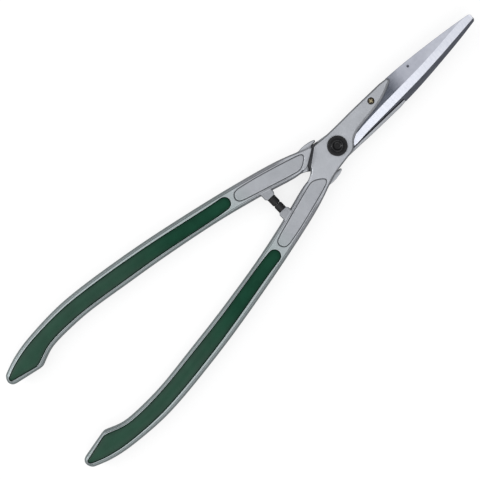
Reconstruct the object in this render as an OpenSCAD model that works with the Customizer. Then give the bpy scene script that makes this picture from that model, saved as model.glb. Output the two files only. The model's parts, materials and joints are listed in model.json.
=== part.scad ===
// Hand hedge shears, closed. Two identical die-cast levers cross at one bolt, the rear one turned over,
// and each carries a steel blade in a pocket of its arm.
// Origin on the pivot axis where the two blades meet. X is across, Y points to the blade tips, Z is up
// through the front face. The front lever has its handle at +X and its blade arm at -X.

/* [Lever] */
// Distance from the pivot to the end of a handle
handle_reach = 437; // [425:1:450]
// Distance from the centre line to the widest point of a handle
handle_spread = 84; // [81:0.5:87]
// Thickness of a handle
handle_t = 14; // [13:0.5:16]
// Depth of the plain panel in each face of a handle
panel_depth = 0.8; // [0.4:0.1:1.2]
// Distance from the centre line to the outer edge of a blade arm
arm_edge = 17.3; // [16.8:0.1:18]
// Gap from the middle plane to the joint face of a lever
joint_gap = 0.3; // [0.2:0.05:0.5]

/* [Blade] */
// Distance from the pivot to the blade tips
blade_reach = 204; // [196:1:212]
// Thickness of a blade
blade_t = 3; // [2.5:0.1:3.5]
// Width of the lip of the arm outside the blade
lip_w = 3.3; // [2.8:0.1:3.8]
// Gap from the middle plane to the inner face of a blade
blade_gap = 0.05; // [0.03:0.01:0.1]
// Thickness left at the cutting edge
edge_land = 0.25; // [0.1:0.05:0.5]

/* [Pivot] */
// Diameter of the pivot bolt
bolt_d = 10; // [9:0.5:11]
// Diameter of the domed bolt head
head_d = 16; // [15:0.5:17]
// Height of the domed bolt head
head_h = 4.4; // [4:0.1:5]
// Width across the flats of the hexagon socket
socket_af = 6; // [5:0.5:7]
// Outer diameter of the bushes
bush_d = 13; // [12.5:0.5:14]
// Running clearance between bolt and bush, on the radius
bush_play = 0.05; // [0.02:0.01:0.1]
// Outer diameter of the two flat washers
washer_d = 22.4; // [20:0.2:23]
// Thickness of the two flat washers
washer_t = 2; // [1.6:0.1:2.4]
// Width across the flats of the nut
nut_af = 17; // [16:0.5:18]
// Height of the nut
nut_h = 6; // [5.5:0.1:7]

/* [Blade screw] */
// Diameter of the screw thread
screw_d = 5; // [4.5:0.5:5]
// Diameter of the screw head
screw_head_d = 7.2; // [7:0.1:7.4]
// Height of the screw head
screw_head_h = 2.1; // [1.8:0.1:2.2]

/* [Grip] */
// Depth of the grip recess in each face of a handle
grip_depth = 2.6; // [2:0.1:3]
// Height of a grip above the face of the handle
grip_rise = 0.5; // [0.2:0.1:1]
// Gap between a grip and the edge of its recess
grip_gap = 0.15; // [0.1:0.05:0.3]
// Diameter of the pegs that locate a grip
peg_d = 5; // [4:0.5:6]

/* [Bumper] */
// Diameter of a bumper
bumper_d = 10; // [9:0.5:11]
// Distance from the centre line to the end face of a lug
lug_face = 9.3; // [8.8:0.1:10]
// Where the bumpers meet, from the centre line toward the front lever
bumper_meet = 0.6; // [0:0.1:1]
// Diameter of the bumper studs
stud_d = 5; // [4:0.5:5]

/* [Hidden] */

$fn = 64;
// How far a cutting shape runs past the face that it cuts.
over = 1;
face = handle_t / 2;
blade_top = blade_gap + blade_t;

// Smooth curve through a list of points, with `steps` chords between neighbours.
function spline_at(a, b, c, d, t) =
    (2 * b + (c - a) * t + (2 * a - 5 * b + 4 * c - d) * t * t + (3 * b - a - 3 * c + d) * t * t * t) / 2;
function spline(p, steps = 5) = [
    for (i = [0:len(p) - 2], k = [0:steps - 1])
        spline_at(p[max(i - 1, 0)], p[i], p[i + 1], p[min(i + 2, len(p) - 1)], k / steps),
    p[len(p) - 1]
];
// Points on an arc about c, from angle a0 to angle a1.
function arc(c, r, a0, a1, steps = 8) = [
    for (k = [0:steps]) c + r * [cos(a0 + (a1 - a0) * k / steps), sin(a0 + (a1 - a0) * k / steps)]
];
function reversed(p) = [for (i = [len(p) - 1:-1:0]) p[i]];
// Moves a list of points sideways.
function shifted(p, dx) = [for (q = p) [q[0] + dx, q[1]]];
// Stretches handle points from the nominal reach and spread to the chosen ones.
function to_handle(p) = [for (q = p) [q[0] * handle_spread / 84, q[1] * handle_reach / 437]];
// Stretches blade points from the nominal reach to the chosen one, from the end of the arm outward.
arm_end = 91;
blade_stretch = (blade_reach - arm_end) / (204 - arm_end);
function to_blade(p) = [
    for (q = p) [q[0], q[1] < arm_end ? q[1] : arm_end + (q[1] - arm_end) * blade_stretch]
];

// Edges of the front lever's handle, from the pivot end to the far end.
handle_outer = spline(to_handle([
    [20.1, -20.6], [21.8, -27], [24.8, -35], [34.3, -61], [44.5, -100], [56.4, -153],
    [69.1, -218], [77.2, -270], [82.7, -316], [84, -349], [81.4, -388], [76.7, -413], [69.4, -433]
]));
handle_inner = spline(to_handle([
    [5.4, -48], [7.4, -61], [18.2, -100], [30.6, -153], [42.1, -218], [49.6, -270],
    [55.8, -316], [57.3, -349], [55.9, -375], [49.2, -394]
]));
heel = to_handle([[48.2, -396.6], [48.5, -401], [54.6, -431]]);
handle_end = spline(to_handle([[55.8, -434.2], [58.6, -436.4], [62.2, -437], [66.4, -435.6]]), 3);
// Step where the joint plate leaves the full thickness of the handle.
joint_step = [[5.9, -43], [6.1, -39.5], [7.7, -36.7], [16.3, -23.2], [18.4, -20.6]];
handle_outline = concat(
    handle_outer, reversed(handle_end), reversed(heel), reversed(handle_inner), joint_step
);

// Joint plate and blade arm of the front lever, on its own side of the middle plane.
plate_outer = spline([
    [27, -44], [24.8, -35], [21.6, -26], [19.6, -17], [18.1, -8], [16.9, 0], [15.8, 7], [14.7, 10.7]
], 4);
arm_inner = spline([
    [12.3, 13.6], [8, 18], [4.6, 24.6], [2.6, 32], [1.4, 40],
    [0.4, 50], [-1, 60], [-3.2, 70], [-6.2, 79], [-10.4, 88.2]
], 4);
arm_tip_r = 2.9;
arm_tip = arc([-arm_edge + arm_tip_r + 0.9, arm_end - arm_tip_r], arm_tip_r, 22, 165);
plate_left = spline([
    [-arm_edge, 80], [-arm_edge, 40], [-arm_edge + 0.4, 20], [-arm_edge + 0.5, 0], [-arm_edge, -14]
], 4);
plate_corner = arc([-arm_edge + 2.2, -17.5], 2.2, 180, 232, 5);
crotch = spline([[-4.2, -35], [0, -39.8], [3, -43.6], [5, -48], [9, -62]], 4);
plate_outline = concat(plate_outer, arm_inner, arm_tip, plate_left, plate_corner, crotch, [[30, -62]]);

// Raised corner between the joint step and the inner edge, clear of the other lever's plate.
crotch_block = [[7, -38], [2.8, -38.8], [1.6, -40.8], [3.2, -43.6], [4.9, -47.6], [8, -50]];
crotch_low = 3.6;
crotch_high = face - 1;

// Stop tab on the outer side of the lever, below the middle plane.
tab_outline = concat(
    [[19.8, -22], [19.8, -14.8]], arc([21.4, -14.8], 1.6, 180, 60, 4),
    spline([[24, -18], [25.2, -25], [25.4, -31], [24.9, -35]], 3), [[21.5, -36]]
);
tab_t = 5.4;

// Plain panel in the face of a handle.
panel_outline = concat(
    spline(to_handle([[21.6, -37.5], [24.4, -46], [30.2, -66], [36.6, -90], [40.8, -110]]), 3),
    spline(to_handle([[40.8, -113.5], [39.6, -117.2], [34.4, -120], [30, -118], [28.2, -114]]), 3),
    spline(to_handle([[27, -111], [20.8, -90], [13.2, -64], [9.4, -50]]), 3),
    spline(to_handle([[9.3, -46.5], [11.4, -41.2], [15.4, -35.6], [18.4, -34], [20.6, -35.2]]), 3)
);

// Grip in the face of a handle, its edge moved in by `inset`.
grip_outer = to_handle([
    [46.6, -132], [50.2, -153], [63, -218], [71.4, -270], [77, -316],
    [78.6, -349], [76.4, -388], [71.6, -413], [66, -429]
]);
grip_inner = to_handle([
    [32.2, -132], [35, -153], [46.6, -218], [54, -270], [60, -316], [61.8, -349], [60.4, -375], [53.2, -396.5]
]);
grip_top = to_handle([[39.4, -132]])[0];
grip_top_r = 7.2;
grip_foot = to_handle([[64.4, -432.2], [61.6, -433.8], [59.4, -432.2]]);
function grip_outline(inset) = concat(
    arc(grip_top, grip_top_r - inset, 165, 12),
    spline(shifted(grip_outer, -inset)),
    spline(grip_foot + inset * [[-1, 1], [0, 1], [1, 1]], 3),
    shifted(to_handle([[52.2, -401.5]]), inset),
    reversed(spline(shifted(grip_inner, inset)))
);
peg_spots = to_handle([[41.2, -145], [62.8, -270], [66.4, -400]]);
peg_l = 3;
peg_play = 0.1;
peg_gap = 0.2;

// Blade edges, from the heel to the tip.
cut_edge = spline(to_blade([
    [13.2, 14.5], [12.6, 25], [11.7, 37], [11, 60], [10.2, 90], [9, 120], [6.8, 150], [4, 180], [1.7, 203.4]
]));
bevel_edge = spline(to_blade([
    [12.4, 14.5], [8.6, 18.6], [5.4, 25], [3.4, 37], [2, 60],
    [0.9, 90], [0, 120], [-2, 150], [-4.8, 180], [-5.6, 206]
]));
shoulder_y = 88.4;
spine = spline(to_blade([
    [-16.7, shoulder_y], [-16.2, 100], [-14.8, 120], [-11.8, 150], [-8.2, 180], [-4.8, 202]
]));
tang_r = 13;
spine_in = arm_edge - lip_w;
blade_end = to_blade([[-3.4, 204], [1, 204]]);
// Blade in plan, its tang and arm part grown by `play` for the pocket that holds it.
function blade_outline(play = 0) = concat(
    arc([0, 0], tang_r + play, -180, 0, 16),
    shifted(cut_edge, play), reversed(blade_end), reversed(spine),
    [[-spine_in - play, shoulder_y], [-spine_in - play, 12]]
);
pocket_play = 0.1;

// Blade screw, in the arm. Its head bears on a floor of casting under the head's bore.
screw_pos = [-10, 60.3];
screw_floor = 1.5;
screw_seat = blade_top + screw_floor;
screw_bore_d = 7.6;
screw_play = 0.3;
screw_recess = 0.3;
screw_slot = [screw_head_d * 0.65, 1, 2.4];

// Bumper axis and lug.
bumper_y = -90.7;
lug_w = 13;
lug_nose_w = 10.8;
lug_t = 12;
lug_step = 1.3;
stud_in = 8;
stud_head_d = 8;
stud_head_t = 1.5;
stud_cover = 2.5;
stud_gap = 0.5;
bumper_touch = 0.03;

// Stack of parts on the pivot bolt.
washer_lift = 0.05;
head_trim = 0.6;
socket_deep = 3;
bolt_recess = 0.2;
bolt_seat = face + washer_lift + washer_t;
washer_bore = bolt_d + 0.5;
spring_t = 1.2;
spring_rise = 0.6;
spring_d = 18;
back_seat = face + washer_t + spring_t + spring_rise;
back_end = back_seat + nut_h;
nut_ring_d = bolt_d + 3.4;
nut_ring_t = 1.8;
// The nut's corners are cut back to a cone at its outer end, which leaves a round face.
nut_chamfer_w = 3;
nut_chamfer_h = 1;

// Straight solid on a flat outline, between two heights.
module slab(z0, z1) {
    translate([0, 0, z0]) linear_extrude(z1 - z0) children();
}

// Turns a part of the front lever over to make the same part of the rear lever.
module turned_over() {
    rotate([0, 180, 0]) children();
}

// Repeats the children on both faces of a handle that lies on the middle plane.
module both_faces() {
    children();
    mirror([0, 0, 1]) children();
}

module lug() {
    translate([lug_face + lug_step, bumper_y - lug_w / 2, -lug_t / 2]) cube([lug_w, lug_w, lug_t]);
    translate([lug_face, bumper_y - lug_nose_w / 2, -lug_nose_w / 2]) cube([lug_w, lug_nose_w, lug_nose_w]);
}

module lever() {
    difference() {
        union() {
            slab(-face, face) polygon(handle_outline);
            slab(joint_gap, face) polygon(plate_outline);
            slab(-joint_gap - tab_t, -joint_gap) polygon(tab_outline);
            slab(-crotch_low, crotch_high) polygon(crotch_block);
            lug();
        }
        slab(-joint_gap, blade_top) polygon(blade_outline(pocket_play));
        slab(-joint_gap, blade_top) translate([-arm_edge - over, shoulder_y - pocket_play]) square(lip_w * 2);
        both_faces() slab(face - panel_depth, face + over) polygon(panel_outline);
        both_faces() slab(face - grip_depth, face + over) polygon(grip_outline(0));
        both_faces() for (p = peg_spots)
            translate([p[0], p[1], face - grip_depth - peg_l]) cylinder(d = peg_d, h = peg_l + over);
        cylinder(d = bush_d, h = face + over);
        translate([screw_pos[0], screw_pos[1], 0]) cylinder(d = screw_d + screw_play, h = face);
        translate([screw_pos[0], screw_pos[1], screw_seat]) cylinder(d = screw_bore_d, h = face);
        translate([lug_face - over, bumper_y, 0]) rotate([0, 90, 0]) cylinder(d = stud_d, h = stud_in + over);
    }
}

// Wedge that grinds the bevel: a triangle at each point of the cutting edge, run on past the tip.
grind_path = concat(cut_edge, [cut_edge[len(cut_edge) - 1] + [-0.2, 3]]);
grind_over = 2;
function bevel_at(y) = lookup(y, [for (q = bevel_edge) [q[1], q[0]]]);
function grind_section(q) = let (slope = (blade_t - edge_land) / (q[0] - bevel_at(q[1]))) [
    [q[0] + grind_over, q[1], blade_gap + edge_land - grind_over * slope],
    [bevel_at(q[1]) - grind_over / slope, q[1], blade_top + grind_over],
    [q[0] + grind_over, q[1], blade_top + grind_over]
];
module bevel_cut() {
    n = len(grind_path);
    sides = [
        for (i = [0:n - 2], k = [0:2])
            let (a = 3 * i + k, b = 3 * i + (k + 1) % 3) each [[b, a, a + 3], [b, a + 3, b + 3]]
    ];
    polyhedron(
        [for (q = grind_path) each grind_section(q)],
        concat([[0, 1, 2]], sides, [[3 * n - 1, 3 * n - 2, 3 * n - 3]])
    );
}

module blade() {
    difference() {
        slab(blade_gap, blade_top) polygon(blade_outline());
        bevel_cut();
        translate([0, 0, -over]) cylinder(d = bush_d, h = blade_top + 2 * over);
        translate([screw_pos[0], screw_pos[1], -over]) cylinder(d = screw_d, h = blade_top + 2 * over);
    }
}

module blade_screw() {
    translate([screw_pos[0], screw_pos[1], 0]) difference() {
        union() {
            translate([0, 0, blade_gap + screw_recess])
                cylinder(d = screw_d, h = screw_floor + blade_t - screw_recess);
            translate([0, 0, screw_seat]) cylinder(d = screw_head_d, h = screw_head_h);
        }
        for (a = [45, 135]) translate([0, 0, screw_seat + screw_head_h]) rotate([0, 0, a])
            cube(screw_slot, center = true);
    }
}

module pivot_bush() {
    difference() {
        translate([0, 0, blade_gap]) cylinder(d = bush_d, h = face - blade_gap);
        translate([0, 0, -over]) cylinder(d = bolt_d + 2 * bush_play, h = face + 2 * over);
    }
}

module washer(z) {
    translate([0, 0, z]) difference() {
        cylinder(d = washer_d, h = washer_t);
        translate([0, 0, -over]) cylinder(d = washer_bore, h = washer_t + 2 * over);
    }
}

// Domed head with a hexagon socket on a plain shank.
module pivot_bolt() {
    dome_r = (head_d * head_d / 4 + head_h * head_h) / (2 * head_h);
    difference() {
        union() {
            intersection() {
                translate([0, 0, bolt_seat + head_h - dome_r]) sphere(r = dome_r);
                translate([0, 0, bolt_seat]) cylinder(d = head_d - head_trim, h = head_h);
            }
            translate([0, 0, bolt_recess - back_end]) cylinder(d = bolt_d, h = back_end + bolt_seat);
        }
        translate([0, 0, bolt_seat + head_h - socket_deep])
            cylinder(d = socket_af / cos(30), h = socket_deep + over, $fn = 6);
    }
}

// Shallow cone that keeps the joint tight.
module spring_washer() {
    translate([0, 0, -face - washer_t - spring_t - spring_rise]) rotate_extrude()
        polygon([
            [washer_bore / 2, 0], [spring_d / 2, spring_rise],
            [spring_d / 2, spring_rise + spring_t], [washer_bore / 2, spring_t]
        ]);
}

module nut() {
    translate([0, 0, -back_end]) difference() {
        intersection() {
            cylinder(d = nut_af / cos(30), h = nut_h, $fn = 6);
            union() {
                cylinder(d1 = nut_af, d2 = nut_af + nut_chamfer_w, h = nut_chamfer_h);
                translate([0, 0, nut_chamfer_h]) cylinder(d = nut_af + nut_chamfer_w, h = nut_h);
            }
        }
        translate([0, 0, -over]) cylinder(d = bolt_d, h = nut_h + 2 * over);
        translate([0, 0, -over]) cylinder(d = nut_ring_d, h = nut_ring_t + over);
    }
}

module nut_ring() {
    translate([0, 0, -back_end]) difference() {
        cylinder(d = nut_ring_d, h = nut_ring_t);
        translate([0, 0, -over]) cylinder(d = bolt_d, h = nut_ring_t + 2 * over);
    }
}

module grip() {
    floor_z = face - grip_depth;
    slab(floor_z, face + grip_rise) polygon(grip_outline(grip_gap));
    for (p = peg_spots)
        translate([p[0], p[1], floor_z - peg_l + peg_gap]) cylinder(d = peg_d - peg_play, h = peg_l);
}

// Rubber stop on the +X side, from x0 to the lug, with a cavity for its stud.
module bumper(x0) {
    translate([x0, bumper_y, 0]) rotate([0, 90, 0]) difference() {
        cylinder(d = bumper_d, h = lug_face - x0);
        translate([0, 0, stud_cover]) cylinder(d = stud_head_d, h = stud_head_t);
        translate([0, 0, stud_cover]) cylinder(d = stud_d, h = lug_face);
    }
}

module bumper_stud(x0) {
    translate([x0 + stud_cover, bumper_y, 0]) rotate([0, 90, 0]) {
        cylinder(d = stud_head_d, h = stud_head_t);
        cylinder(d = stud_d, h = lug_face + stud_in - stud_gap - x0 - stud_cover);
    }
}

cast_grey = [0.70, 0.71, 0.73];
steel = [0.82, 0.84, 0.88];
black = [0.10, 0.10, 0.11];
green = [0.10, 0.26, 0.19];
bronze = [0.62, 0.46, 0.26];
nylon = [0.88, 0.88, 0.84];

color(cast_grey) lever();  // front_lever
color(cast_grey) turned_over() lever();  // rear_lever
color(steel) blade();  // front_blade
color(steel) turned_over() blade();  // rear_blade
color(black) blade_screw();  // front_blade_screw
color(black) turned_over() blade_screw();  // rear_blade_screw
color(bronze) pivot_bush();  // front_pivot_bush
color(bronze) turned_over() pivot_bush();  // rear_pivot_bush
color(black) pivot_bolt();
color(black) washer(face + washer_lift);  // pivot_front_washer
color(black) washer(-face - washer_t);  // pivot_back_washer
color(steel) spring_washer();  // pivot_spring_washer
color(black) nut();  // pivot_nut
color(nylon) nut_ring();  // pivot_nut_ring
color(green) grip();  // front_grip_top
color(green) mirror([0, 0, 1]) grip();  // front_grip_bottom
color(green) turned_over() mirror([0, 0, 1]) grip();  // rear_grip_top
color(green) turned_over() grip();  // rear_grip_bottom
color(black) bumper(bumper_meet + bumper_touch);  // front_bumper
color(black) turned_over() bumper(bumper_touch - bumper_meet);  // rear_bumper
color(steel) bumper_stud(bumper_meet + bumper_touch);  // front_bumper_stud
color(steel)  // rear_bumper_stud
    turned_over() bumper_stud(bumper_touch - bumper_meet);
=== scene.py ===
"""Looks of the hand hedge shears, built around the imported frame.

Shapes are worked out in millimetres and written to the meshes in metres. The cast and moulded pieces are
signed distance fields: an Outline holds the distance to a section of a CAD solid, a field combines outlines
into the distance to the rounded body, and skin() covers it with triangles. Blades are lofted through
sections of their CAD solids, and turned parts are spun from profiles.
The front half is modelled, and the rear half is the same shapes turned over about the Y axis.
"""

import functools
import json
import math

import bpy
import numpy as np
from mathutils import Matrix, Vector


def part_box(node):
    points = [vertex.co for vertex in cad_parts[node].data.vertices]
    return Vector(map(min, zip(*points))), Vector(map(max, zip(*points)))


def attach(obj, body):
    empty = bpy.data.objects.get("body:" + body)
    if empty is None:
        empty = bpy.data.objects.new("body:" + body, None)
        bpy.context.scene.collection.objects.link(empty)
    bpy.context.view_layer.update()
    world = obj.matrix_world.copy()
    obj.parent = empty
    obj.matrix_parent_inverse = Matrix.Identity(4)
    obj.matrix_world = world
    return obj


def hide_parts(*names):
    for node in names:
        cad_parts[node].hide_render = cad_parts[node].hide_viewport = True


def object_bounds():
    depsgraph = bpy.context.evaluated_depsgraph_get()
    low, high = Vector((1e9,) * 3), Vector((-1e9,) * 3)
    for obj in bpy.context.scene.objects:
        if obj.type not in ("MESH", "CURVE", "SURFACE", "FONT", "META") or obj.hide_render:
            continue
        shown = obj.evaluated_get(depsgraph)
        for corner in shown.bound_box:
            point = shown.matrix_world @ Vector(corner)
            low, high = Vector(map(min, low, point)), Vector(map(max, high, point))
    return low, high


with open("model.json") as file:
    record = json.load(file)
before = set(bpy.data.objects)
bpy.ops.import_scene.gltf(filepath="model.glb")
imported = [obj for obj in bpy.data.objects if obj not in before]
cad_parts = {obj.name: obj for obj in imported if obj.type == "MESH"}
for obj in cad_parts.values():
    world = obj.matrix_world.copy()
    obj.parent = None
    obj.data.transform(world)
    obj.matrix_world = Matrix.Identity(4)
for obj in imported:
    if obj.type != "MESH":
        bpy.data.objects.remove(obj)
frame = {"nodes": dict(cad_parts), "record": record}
CAD_LOW, CAD_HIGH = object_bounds()
BODY_OF = {node: body for body, nodes in frame["record"]["behaviour"]["bodies"].items() for node in nodes}

MM = 0.001


def box_mm(node):
    """Lowest and highest corner of a CAD node, in millimetres."""
    low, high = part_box(node)
    return np.array(low) / MM, np.array(high) / MM


# Heights and places that the frame gives.
LEVER_LOW, LEVER_HIGH = box_mm("front_lever")
FACE = LEVER_HIGH[2]
BLADE_LOW, BLADE_HIGH = box_mm("front_blade")
BLADE_BOTTOM, BLADE_TOP = BLADE_LOW[2], BLADE_HIGH[2]
SCREW_LOW, SCREW_HIGH = box_mm("front_blade_screw")
SCREW_AT = (SCREW_LOW + SCREW_HIGH) / 2
SCREW_HEAD_R = (SCREW_HIGH[0] - SCREW_LOW[0]) / 2
BUMPER_LOW, BUMPER_HIGH = box_mm("front_bumper")
BUMPER_Y = (BUMPER_LOW[1] + BUMPER_HIGH[1]) / 2
BUMPER_R = (BUMPER_HIGH[2] - BUMPER_LOW[2]) / 2
LUG_FACE = BUMPER_HIGH[0]
BUSH_R = box_mm("front_pivot_bush")[1][0]

# Sizes of the casting that its box doesn't give. LAP is the height of its lap face over the middle plane.
LAP = 0.3
LAP_ROUND = 0.6
PANEL_FLOOR = FACE - 0.8
PANEL_GROOVE = 0.45
GRIP_FLOOR = FACE - 2.6
TAB_TOP, TAB_BOTTOM = -0.3, -5.7
TAB_LEFT, TAB_REAR = 14, -36.5
CROTCH_TOP, CROTCH_BOTTOM = FACE - 1, -3.6
CROTCH_RIGHT, CROTCH_REAR, CROTCH_FRONT = 8.5, -49.5, -37
POCKET_REAR = -70
SCREW_SEAT = BLADE_TOP + 1.5
SCREW_BORE_R, SHANK_BORE_R = 3.8, 2.65
STUD_R, STUD_DEPTH = 2.5, 8
LUG_HALF, LUG_ROUND, LUG_STEP = np.array([6.5, 6.5, 6.0]), 1.2, 1.3
NOSE_HALF, NOSE_ROUND = np.array([6.5, 5.4, 5.4]), 0.8
EDGE_SLOPE_W, EDGE_SLOPE_H = 1.7, 2.5
INNER_SLOPE_W, INNER_SLOPE_H = 3.0, 2.0
HANDLE_SIDE_R = 9.1
RIM_LINE = -3.3
# The upper and the lower part of the casting run into one another by this much.
OVERLAP = 0.02

SKIN_STEP = 0.5
SNAP_SHARE = 0.4
MOST_TRIANGLES = 190000


# ---- sections of CAD solids

def node_triangles(node):
    """Corners of a CAD node's triangles, in millimetres."""
    mesh = frame["nodes"][node].data
    mesh.calc_loop_triangles()
    points = np.array([v.co for v in mesh.vertices]) / MM
    return points[np.array([t.vertices for t in mesh.loop_triangles])]


def section_loops(node, height):
    """Closed loops of points where a CAD solid crosses a level plane, longest loop first."""
    triangles = node_triangles(node)
    low = triangles[:, :, 2] < height
    crossing = np.isin(low.sum(1), (1, 2))
    links = {}
    for corners, is_low in zip(triangles[crossing], low[crossing]):
        ends = []
        for i in range(3):
            j = (i + 1) % 3
            if is_low[i] == is_low[j]:
                continue
            a, b = (corners[i], corners[j]) if is_low[i] else (corners[j], corners[i])
            p = a + (b - a) * ((height - a[2]) / (b[2] - a[2]))
            ends.append((round(float(p[0]), 3), round(float(p[1]), 3)))
        if ends[0] != ends[1]:
            links.setdefault(ends[0], []).append(ends[1])
            links.setdefault(ends[1], []).append(ends[0])
    loops = []
    while links:
        start = next(iter(links))
        loop, here = [start], start
        while links.get(here):
            following = links[here].pop()
            links[following].remove(here)
            if following != start:
                loop.append(following)
            here = following
        for p in loop:
            if not links.get(p):
                links.pop(p, None)
        if len(loop) > 2:
            loops.append(np.array(loop))
    return sorted(loops, key=lambda p: -np.linalg.norm(p - np.roll(p, 1, 0), axis=1).sum())


def evened(loop, spacing=0.8, softenings=2):
    """A closed loop sampled again at an even spacing, its facets softened."""
    closed = np.vstack([loop, loop[:1]])
    along = np.concatenate([[0], np.cumsum(np.linalg.norm(np.diff(closed, axis=0), axis=1))])
    stops = np.linspace(0, along[-1], max(int(along[-1] / spacing), 12), endpoint=False)
    points = np.stack([np.interp(stops, along, closed[:, k]) for k in range(2)], 1)
    for _ in range(softenings):
        points = (np.roll(points, 1, 0) + 2 * points + np.roll(points, -1, 0)) / 4
    return points


class Outline:
    """Signed distance in the plane to closed loops, negative inside, sampled on a grid."""

    REACH = 9.0
    STEP = 0.5

    def __init__(self, loops, margin=8.0):
        starts = np.vstack(loops)
        ends = np.vstack([np.roll(p, -1, 0) for p in loops])
        self.low = starts.min(0) - margin
        counts = np.ceil((starts.max(0) + margin - self.low) / self.STEP).astype(int) + 1
        xs = self.low[0] + self.STEP * np.arange(counts[0])
        ys = self.low[1] + self.STEP * np.arange(counts[1])
        self.grid = np.full((len(xs), len(ys)), self.REACH)
        tile = 24
        for j in range(0, len(ys), tile):
            band = slice(j, j + tile)
            near = self._near(starts[:, 1], ends[:, 1], ys[band])
            a, b = starts[near], ends[near]
            sign = np.where(self._inside(xs, ys[band], a, b), -1, 1)
            for i in range(0, len(xs), tile):
                block = slice(i, i + tile)
                close = self._near(a[:, 0], b[:, 0], xs[block])
                if close.any():
                    self.grid[block, band] = self._distance(xs[block], ys[band], a[close], b[close])
            self.grid[:, band] *= sign

    def _near(self, start, end, values):
        """Segments whose span reaches within REACH of a range of values."""
        above = np.maximum(start, end) > values[0] - self.REACH
        return above & (np.minimum(start, end) < values[-1] + self.REACH)

    def _inside(self, xs, ys, a, b):
        """Whether each grid point is inside, by counting the segments to its right."""
        inside = np.zeros((len(xs), len(ys)), bool)
        for j, y in enumerate(ys):
            spans = (a[:, 1] > y) != (b[:, 1] > y)
            p, q = a[spans], b[spans]
            cross = p[:, 0] + (y - p[:, 1]) * (q[:, 0] - p[:, 0]) / (q[:, 1] - p[:, 1])
            inside[:, j] = (xs[:, None] < cross).sum(1) % 2 == 1
        return inside

    def _distance(self, xs, ys, a, b):
        dx, dy = b[:, 0] - a[:, 0], b[:, 1] - a[:, 1]
        px = xs[:, None, None] - a[:, 0]
        py = ys[None, :, None] - a[:, 1]
        t = np.clip((px * dx + py * dy) / (dx * dx + dy * dy), 0, 1)
        distance = np.sqrt(((px - t * dx) ** 2 + (py - t * dy) ** 2).min(-1))
        return np.minimum(distance, self.REACH)

    def softened(self, passes):
        """The same outline with its distances blurred, so that it has no creases inside."""
        other = Outline.__new__(Outline)
        other.low = self.low
        grid = self.grid.copy()
        for _ in range(passes):
            for axis in (0, 1):
                grid = (np.roll(grid, 1, axis) + 2 * grid + np.roll(grid, -1, axis)) / 4
        other.grid = grid
        return other

    def __call__(self, x, y):
        u = np.clip((x - self.low[0]) / self.STEP, 0, self.grid.shape[0] - 1.001)
        v = np.clip((y - self.low[1]) / self.STEP, 0, self.grid.shape[1] - 1.001)
        i, j = u.astype(int), v.astype(int)
        u, v = u - i, v - j
        near = self.grid[i, j] * (1 - v) + self.grid[i, j + 1] * v
        far = self.grid[i + 1, j] * (1 - v) + self.grid[i + 1, j + 1] * v
        return near * (1 - u) + far * u


# ---- distance fields

def smoothstep(low, high, value):
    t = np.clip((value - low) / (high - low), 0, 1)
    return t * t * (3 - 2 * t)


def mixed(a, b, share):
    return a + (b - a) * share


def within(*distances):
    """Distance to what several shapes have in common."""
    return functools.reduce(np.maximum, distances)


def joined(a, b, soft):
    """Union of two distances with a fillet."""
    h = np.maximum(soft - np.abs(a - b), 0) / soft
    return np.minimum(a, b) - h * h * soft / 4


def cut(a, b, soft):
    """Distance to what is left of a when b is cut from it, with a rounded edge."""
    h = np.maximum(soft - np.abs(a + b), 0) / soft
    return np.maximum(a, -b) + h * h * soft / 4


def rounded(outline, height, radius):
    """Distance to the space inside an outline and below a level, with the edge between them rounded."""
    u, v = outline + radius, height + radius
    return np.minimum(np.maximum(u, v), 0) + np.hypot(np.maximum(u, 0), np.maximum(v, 0)) - radius


def rounded_box(x, y, z, centre, half, radius):
    q = [np.abs(p - c) - h + radius for p, c, h in zip((x, y, z), centre, half)]
    outside = np.sqrt(sum(np.maximum(k, 0) ** 2 for k in q))
    return outside + np.minimum(within(*q), 0) - radius


# ---- skinning a field

CORNERS = np.array([[i, j, k] for i in (0, 1) for j in (0, 1) for k in (0, 1)])
CELL_EDGES = [
    (a, b) for a in range(8) for b in range(a + 1, 8) if abs(CORNERS[a] - CORNERS[b]).sum() == 1
]


def skin(field, low, high, step, lines=(), above=0.0):
    """Points and triangles of the surface where a distance field is zero.

    Points further than `above` from the middle plane move onto the nearest of the lines, which are functions
    of x and y that are zero along a feature, so that edges of faces follow it.
    """
    counts = np.ceil((np.array(high) - low) / step).astype(int) + 1
    axes = [l + step * np.arange(n) for l, n in zip(low, counts)]
    slab = 64
    values = np.concatenate(
        [
            np.broadcast_to(field(*np.ix_(axes[0], part, axes[2])), (counts[0], len(part), counts[2]))
            for part in np.split(axes[1], range(slab, counts[1], slab))
        ], 1,
    )
    inside = values < 0
    size = counts - 1
    corner_slices = [tuple(slice(c, c + n) for c, n in zip(corner, size)) for corner in CORNERS]
    filled = sum(inside[s].astype(np.int8) for s in corner_slices)
    is_mixed = (filled > 0) & (filled < 8)
    number = np.full(is_mixed.shape, -1)
    number[is_mixed] = np.arange(is_mixed.sum())
    corner_values = np.stack([values[s][is_mixed] for s in corner_slices], 1)
    total = np.zeros((len(corner_values), 3))
    hits = np.zeros(len(corner_values))
    for a, b in CELL_EDGES:
        at = (corner_values[:, a] < 0) != (corner_values[:, b] < 0)
        share = corner_values[at, a] / (corner_values[at, a] - corner_values[at, b])
        total[at] += CORNERS[a] + share[:, None] * (CORNERS[b] - CORNERS[a])
        hits[at] += 1
    points = np.array(low) + step * (np.argwhere(is_mixed) + total / hits[:, None])
    quads = np.vstack([axis_quads(inside, number, axis) for axis in range(3)])
    points = settled(field, points)
    points = settled(field, snapped(points, lines, above, SNAP_SHARE * step))
    return thinned(points, quads)


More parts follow.
